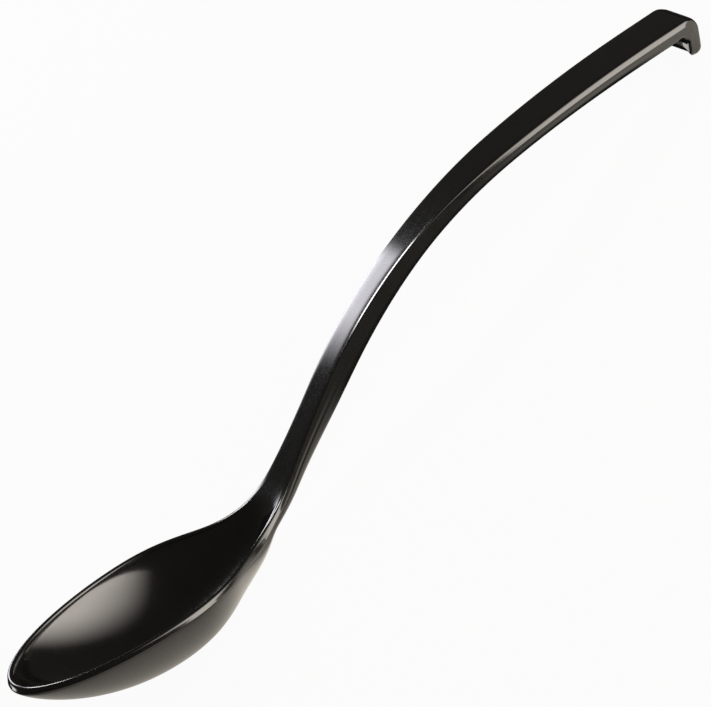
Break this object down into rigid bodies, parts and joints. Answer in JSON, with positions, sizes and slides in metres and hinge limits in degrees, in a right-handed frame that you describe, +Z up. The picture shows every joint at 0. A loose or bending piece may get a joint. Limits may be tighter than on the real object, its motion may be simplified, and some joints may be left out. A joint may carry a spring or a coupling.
{
  "type": "appetizer spoon",
  "caption": "Black moulded ladle-style spoon with a deep egg-shaped bowl, an S-curved flat handle and a down-turned hook at its end for hanging on a bowl's rim.",
  "frame": {"origin": "on the table plane, under the middle of the bounding box", "axes": "+X along the spoon from the bowl to the hook, +Y across it, +Z up from the table that it lies on"},
  "size_m": [0.2272, 0.0448, 0.0307],
  "materials": {
    "black_melamine": "polished, moulded through in one colour"
  },
  "bodies": {
    "root": {"bowl": "black_melamine", "handle": "black_melamine", "hook": "black_melamine"}
  },
  "joints": []
}
